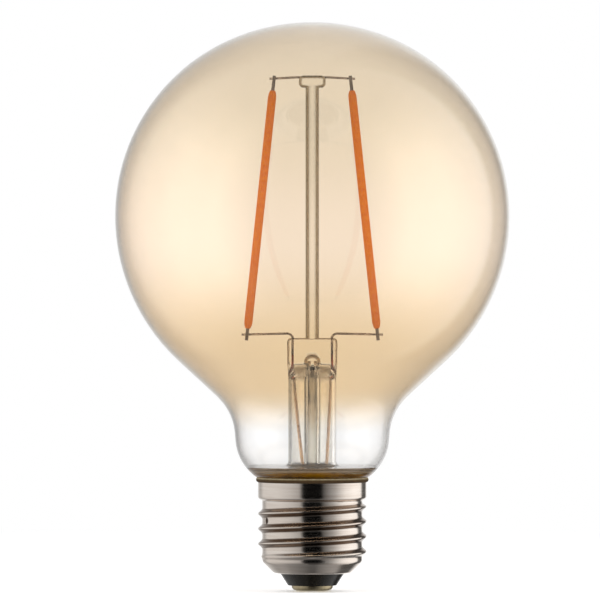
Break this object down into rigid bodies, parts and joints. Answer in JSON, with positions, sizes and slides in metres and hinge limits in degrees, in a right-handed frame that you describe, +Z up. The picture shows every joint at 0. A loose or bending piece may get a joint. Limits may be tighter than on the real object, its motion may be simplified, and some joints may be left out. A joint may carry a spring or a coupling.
{
  "type": "LED filament globe bulb",
  "caption": "Amber glass globe bulb with two long LED filaments on a glass stem and a nickel-plated E27 screw cap.",
  "frame": {"origin": "bottom of the centre contact, on the lamp's axis", "axes": "+Z up the lamp's axis from the cap to the crown of the globe; the filaments lie across X and are seen from -Y"},
  "size_m": [0.095, 0.095, 0.1369],
  "materials": {
    "amber_glass": "amber-tinted lamp glass, fading to clear at the neck",
    "clear_glass": "clear drawn stem glass",
    "nickel_plate": "nickel-plated rolled brass sheet, bright",
    "black_glass": "black moulded cap glass, semi-gloss",
    "brass": "stamped brass, tinned",
    "solder": "soft solder, dull",
    "cement": "baked resin and marble-flour cement",
    "compound": "brown cast resin",
    "laminate": "brown paper laminate board",
    "aluminium_can": "sleeved aluminium can",
    "moulded_black": "moulded epoxy package with tinned legs",
    "resistor_body": "flameproof lacquer on a ceramic core",
    "lead_wire": "nickel-plated iron wire",
    "seal_wire": "oxidised copper-clad seal wire",
    "copper": "bare copper wire",
    "phosphor": "orange phosphor silicone, satin",
    "strip": "ceramic chip carrier",
    "chip": "bare light-emitting chips",
    "terminal": "stamped steel strip, dull"
  },
  "bodies": {
    "root": {"bridge_rectifier": "moulded_black", "bridge_wire": "lead_wire", "cap_insulator": "black_glass", "cap_shell": "nickel_plate", "capping_cement": "cement", "centre_contact": "brass", "centre_rod": "clear_glass", "contact_solder": "solder", "driver_board": "laminate", "driver_chip": "moulded_black", "exhaust_tube": "clear_glass", "filament_chips_left": "chip", "filament_chips_right": "chip", "filament_coating_left": "phosphor", "filament_coating_right": "phosphor", "filament_foot_left": "terminal", "filament_foot_right": "terminal", "filament_head_left": "terminal", "filament_head_right": "terminal", "filament_strip_left": "strip", "filament_strip_right": "strip", "fusible_resistor": "resistor_body", "glass_envelope": "amber_glass", "inner_lead_left": "lead_wire", "inner_lead_right": "lead_wire", "insulating_compound": "compound", "outer_lead_left": "copper", "outer_lead_right": "copper", "seal_wire_left": "seal_wire", "seal_wire_right": "seal_wire", "shell_lead": "copper", "shell_solder": "solder", "smoothing_capacitor": "aluminium_can", "stem_flare": "clear_glass"}
  },
  "joints": []
}
